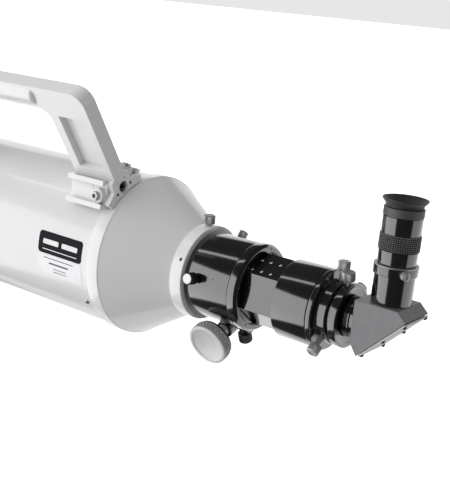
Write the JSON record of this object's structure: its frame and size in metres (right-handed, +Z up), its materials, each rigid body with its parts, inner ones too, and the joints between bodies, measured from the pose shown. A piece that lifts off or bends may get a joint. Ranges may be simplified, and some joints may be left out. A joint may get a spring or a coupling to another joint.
{
  "type": "refractor telescope",
  "caption": "Long white refractor telescope in hinged tube rings on a dovetail bar, with a black rack-and-pinion focuser, a mirror diagonal and an eyepiece.",
  "frame": {"origin": "middle of the dovetail bar's flat underside", "axes": "+X along the tube towards the eyepiece, +Z up, -Y the telescope's left"},
  "size_m": [1.4244, 0.2371, 0.311],
  "materials": {
    "white_paint": "satin white powder coat",
    "gloss_black": "gloss black lacquer",
    "matte_black": "matte black anodised",
    "black_plastic": "black moulded plastic",
    "chrome": "satin chrome, knurled where it is held",
    "steel": "bright steel",
    "grey_anodised": "satin grey anodised",
    "mirror": "first-surface mirror",
    "rubber": "matte black rubber",
    "glass": "coated optical glass"
  },
  "bodies": {
    "base": {"dovetail_bar": "gloss_black", "ring_lower_front": "white_paint", "ring_lower_rear": "white_paint", "ring_hinge_pin_front": "steel", "ring_hinge_pin_rear": "steel", "ring_bolt_front": "steel", "ring_bolt_rear": "steel"},
    "ring_top_front": {"ring_upper_front": "white_paint"},
    "ring_top_rear": {"ring_upper_rear": "white_paint"},
    "ring_knob_front": {"ring_clamp_knob_front": "black_plastic"},
    "ring_knob_rear": {"ring_clamp_knob_rear": "black_plastic"},
    "tube": {"main_tube": "white_paint", "dew_shield": "white_paint", "baffle_front": "matte_black", "baffle_rear": "matte_black", "objective_cell": "matte_black", "lens_retaining_ring": "matte_black", "crown_lens": "glass", "flint_lens": "glass", "lens_spacer": "matte_black", "rear_cone": "white_paint", "rotator_ring": "white_paint", "handle_saddle_rear": "white_paint", "handle_saddle_front": "white_paint", "handle": "white_paint", "handle_bolt_rear": "steel", "handle_bolt_front": "steel", "finder_shoe_left": "white_paint", "finder_shoe_right": "white_paint"},
    "finder_screw_left": {"finder_clamp_screw_left": "chrome"},
    "finder_screw_right": {"finder_clamp_screw_right": "chrome"},
    "rotator_screw": {"rotator_lock_screw": "chrome"},
    "focuser": {"focuser_body": "gloss_black", "focuser_end_ring": "gloss_black", "pinion_housing": "gloss_black"},
    "tension": {"tension_knob": "black_plastic"},
    "brake": {"brake_screw": "chrome"},
    "focus_lock": {"focus_lock_knob": "black_plastic"},
    "focus_shaft": {"pinion_shaft": "steel", "focus_knob_left": "chrome", "focus_knob_right": "chrome"},
    "draw": {"drawtube": "gloss_black", "focus_rack": "steel", "drawtube_sleeve": "gloss_black", "accessory_ring": "gloss_black"},
    "ring_screw_top": {"accessory_screw_top": "chrome"},
    "ring_screw_low": {"accessory_screw_low": "chrome"},
    "ring_screw_side": {"accessory_screw_side": "chrome"},
    "adapter": {"eyepiece_adapter": "gloss_black"},
    "adapter_clamp": {"adapter_screw": "chrome"},
    "diagonal": {"diagonal_nose": "gloss_black", "diagonal_housing": "grey_anodised", "diagonal_mirror": "mirror", "mirror_cover": "steel", "eyepiece_holder": "gloss_black"},
    "holder_clamp": {"holder_screw": "chrome"},
    "eyepiece": {"eyepiece_barrel": "chrome", "eyepiece_body": "gloss_black", "eye_lens": "glass", "eyecup": "rubber"}
  },
  "joints": [
    {"name": "ring_front_open", "type": "hinge", "parent": "base", "child": "ring_top_front", "pos_m": [-0.12, 0.1046, 0.122], "axis": [-1, 0, 0], "range_deg": [0, 100]},
    {"name": "ring_front_knob_turn", "type": "hinge", "parent": "ring_top_front", "child": "ring_knob_front", "pos_m": [-0.12, -0.107, 0.122], "axis": [0, 0, 1], "range_deg": [0, 540]},
    {"name": "ring_rear_open", "type": "hinge", "parent": "base", "child": "ring_top_rear", "pos_m": [0.12, 0.1046, 0.122], "axis": [-1, 0, 0], "range_deg": [0, 100]},
    {"name": "ring_rear_knob_turn", "type": "hinge", "parent": "ring_top_rear", "child": "ring_knob_rear", "pos_m": [0.12, -0.107, 0.122], "axis": [0, 0, 1], "range_deg": [0, 540]},
    {"name": "tube_turn", "type": "hinge", "parent": "base", "child": "tube", "pos_m": [0, 0, 0.122], "axis": [1, 0, 0], "continuous": true},
    {"name": "finder_screw_left_turn", "type": "hinge", "parent": "tube", "child": "finder_screw_left", "pos_m": [0.526, -0.06835, 0.19378], "axis": [0, -0.9962, 0.0872], "range_deg": [0, 540]},
    {"name": "finder_screw_right_turn", "type": "hinge", "parent": "tube", "child": "finder_screw_right", "pos_m": [0.526, -0.03777, 0.21364], "axis": [0, 0.3256, 0.9455], "range_deg": [0, 540]},
    {"name": "rotator_screw_turn", "type": "hinge", "parent": "tube", "child": "rotator_screw", "pos_m": [0.6195, -0.00087, 0.17199], "axis": [0, -0.0175, 0.9998], "range_deg": [0, 540]},
    {"name": "focuser_turn", "type": "hinge", "parent": "tube", "child": "focuser", "pos_m": [0.645, 0, 0.122], "axis": [1, 0, 0], "continuous": true},
    {"name": "tension_knob_turn", "type": "hinge", "parent": "focuser", "child": "tension", "pos_m": [0.642, -0.0496, 0.12831], "axis": [0, -0.992, 0.1262], "range_deg": [0, 540]},
    {"name": "brake_screw_turn", "type": "hinge", "parent": "focuser", "child": "brake", "pos_m": [0.642, 0.03027, 0.1618], "axis": [0, 0.6053, 0.796], "range_deg": [0, 540]},
    {"name": "focus_lock_turn", "type": "hinge", "parent": "focuser", "child": "focus_lock", "pos_m": [0.6605, 0.0232, 0.06667], "axis": [0, 0.3867, -0.9222], "range_deg": [0, 540]},
    {"name": "focus_slide", "type": "slide", "parent": "focuser", "child": "draw", "axis": [1, 0, 0], "range_m": [-0.036, 0.03]},
    {"name": "focus_shaft_turn", "type": "hinge", "parent": "focuser", "child": "focus_shaft", "pos_m": [0.6605, 0.01663, 0.08235], "axis": [0, 0.9222, 0.3867], "range_deg": [-290, 242]},
    {"name": "accessory_screw_top_turn", "type": "hinge", "parent": "draw", "child": "ring_screw_top", "pos_m": [0.786, 0.00039, 0.167], "axis": [0, 0.0087, 1], "range_deg": [0, 540]},
    {"name": "accessory_screw_low_turn", "type": "hinge", "parent": "draw", "child": "ring_screw_low", "pos_m": [0.786, -0.03497, 0.09368], "axis": [0, -0.7771, -0.6293], "range_deg": [0, 540]},
    {"name": "accessory_screw_side_turn", "type": "hinge", "parent": "draw", "child": "ring_screw_side", "pos_m": [0.786, 0.04172, 0.13886], "axis": [0, 0.9272, 0.3746], "range_deg": [0, 540]},
    {"name": "adapter_slide", "type": "slide", "parent": "draw", "child": "adapter", "axis": [1, 0, 0], "range_m": [0, 0.028]},
    {"name": "adapter_screw_turn", "type": "hinge", "parent": "adapter", "child": "adapter_clamp", "pos_m": [0.7976, -0.00832, 0.16113], "axis": [0, -0.2079, 0.9781], "range_deg": [0, 540]},
    {"name": "diagonal_turn", "type": "hinge", "parent": "adapter", "child": "diagonal", "pos_m": [0.807, 0, 0.122], "axis": [1, 0, 0], "continuous": true},
    {"name": "holder_screw_turn", "type": "hinge", "parent": "diagonal", "child": "holder_clamp", "pos_m": [0.85848, -0.01737, 0.1796], "axis": [0.7193, -0.6947, 0], "range_deg": [0, 540]},
    {"name": "eyepiece_slide", "type": "slide", "parent": "diagonal", "child": "eyepiece", "axis": [0, 0, 1], "range_m": [0, 0.027]}
  ],
  "couplings": [
    {"joint": "focus_shaft_turn", "follows": "focus_slide", "rad_per_m": 138.89}
  ]
}
